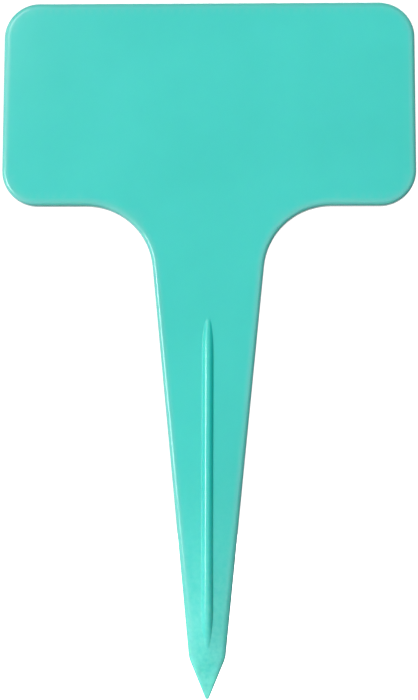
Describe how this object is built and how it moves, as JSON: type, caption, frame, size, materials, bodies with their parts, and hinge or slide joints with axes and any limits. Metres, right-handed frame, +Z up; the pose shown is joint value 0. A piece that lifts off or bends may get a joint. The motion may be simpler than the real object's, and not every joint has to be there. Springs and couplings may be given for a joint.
{
  "type": "plant label stake",
  "caption": "T-shaped plastic plant label: a rounded writing plate on a tapered stem, stiffened by a central rib and ending in a spear point that pushes into soil.",
  "frame": {"origin": "on the flat back face, in the middle of the stem at the soil line, 50 mm above the spear's tip", "axes": "+Z up along the stem from the tip to the plate; +Y out of the flat back, so the ribbed front faces -Y; X across the plate"},
  "size_m": [0.06, 0.0022, 0.1],
  "materials": {
    "stake_plastic": "satin turquoise polypropylene, as moulded"
  },
  "bodies": {
    "root": {"label_stake": "stake_plastic"}
  },
  "joints": []
}
